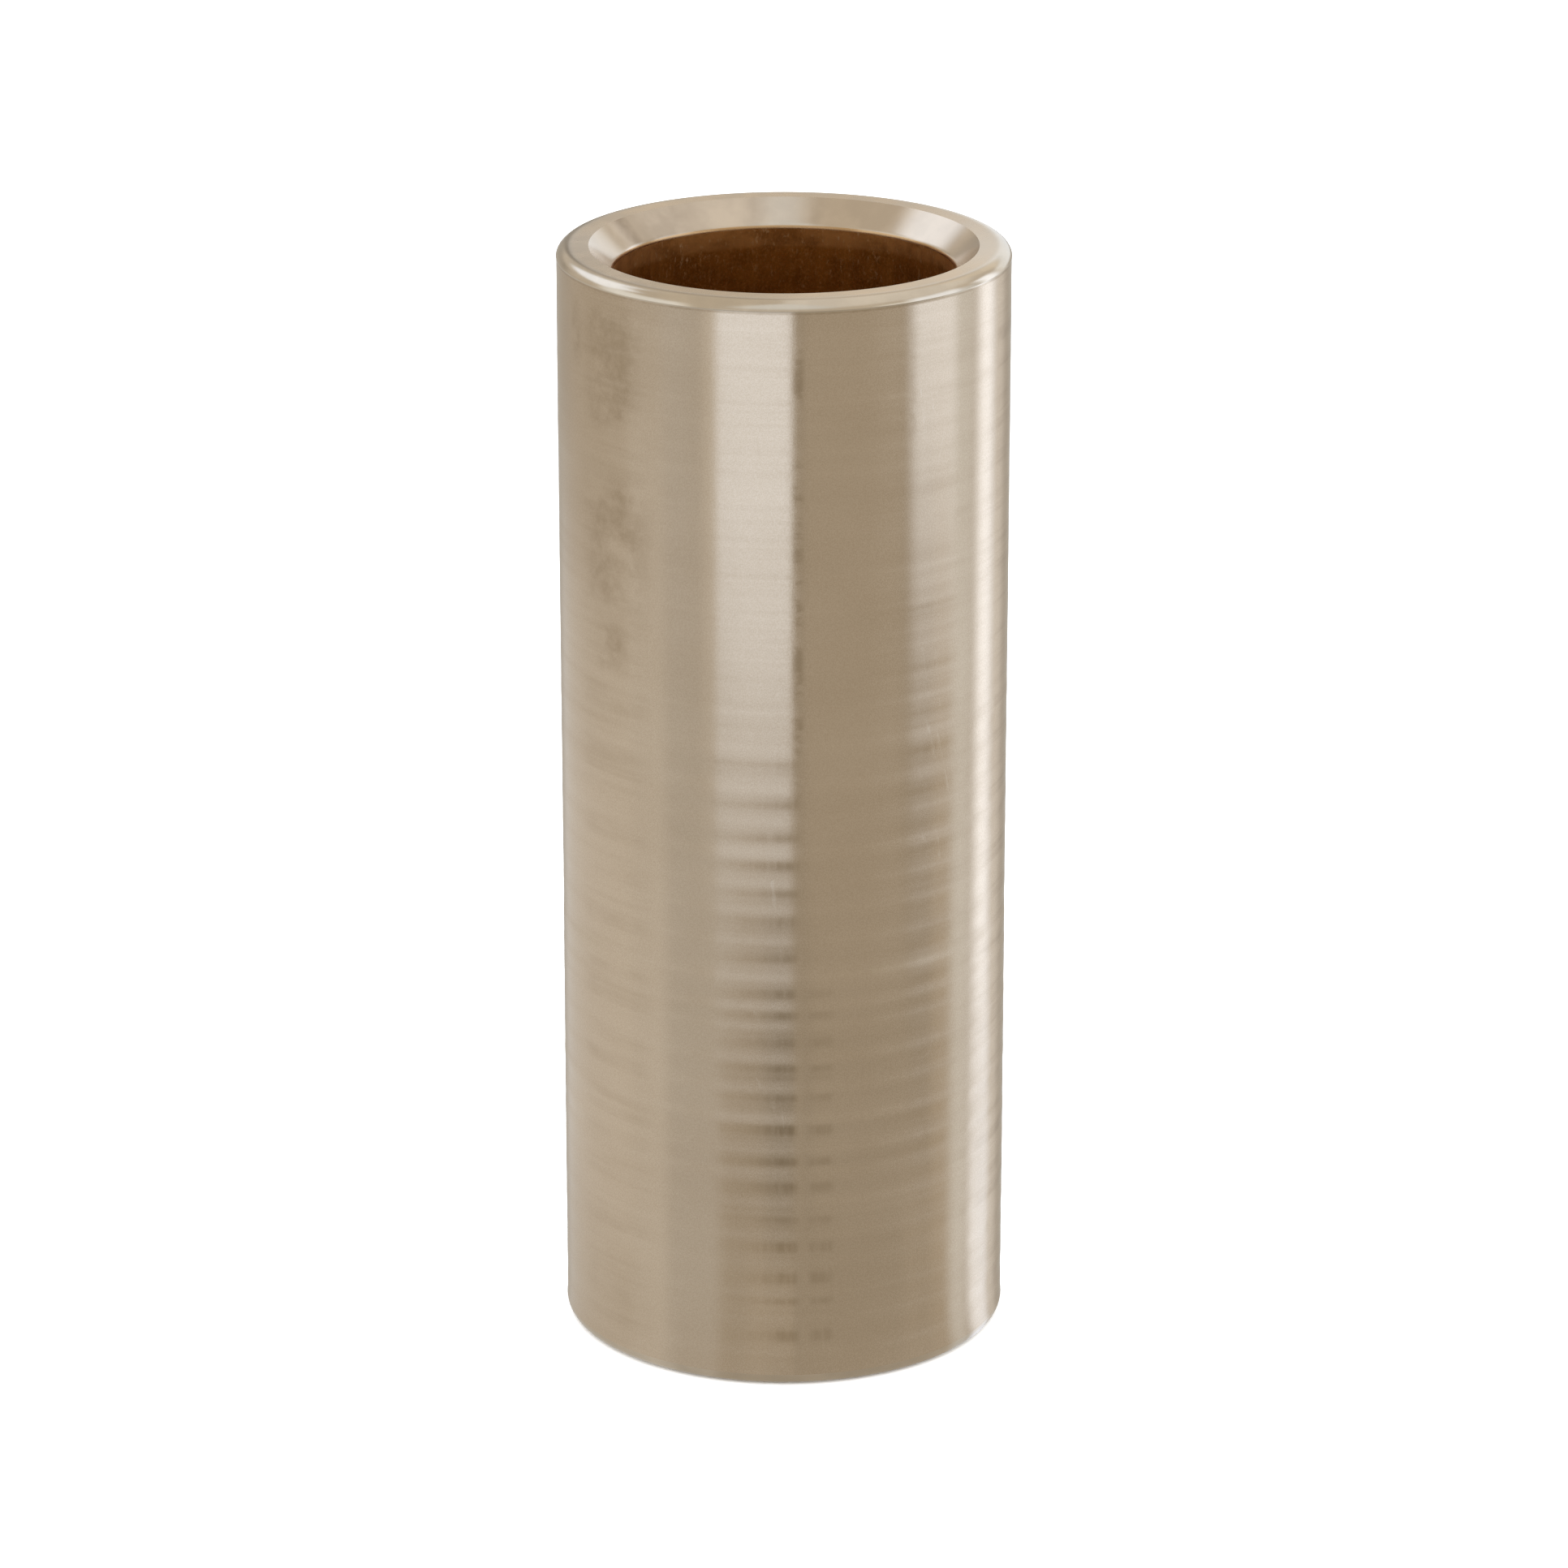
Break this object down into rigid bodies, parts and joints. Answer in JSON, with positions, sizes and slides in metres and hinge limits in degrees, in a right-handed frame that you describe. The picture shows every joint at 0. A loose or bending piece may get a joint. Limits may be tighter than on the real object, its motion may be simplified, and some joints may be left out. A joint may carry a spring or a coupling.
{
  "type": "sleeve bushing",
  "caption": "Plain bronze sleeve bushing: a turned tube with a chamfered bore that a shaft runs in and an outside that is pressed into a housing.",
  "frame": {"origin": "centre of the lower end face, on the bore's axis", "axes": "+Z along the bore towards the upper end, whose outer edge has the larger round; X and Y are equivalent"},
  "size_m": [0.0254, 0.0254, 0.0635],
  "materials": {
    "bronze": "cast bearing bronze, turned and lightly polished outside, darker in the bore"
  },
  "bodies": {
    "root": {"sleeve": "bronze"}
  },
  "joints": []
}
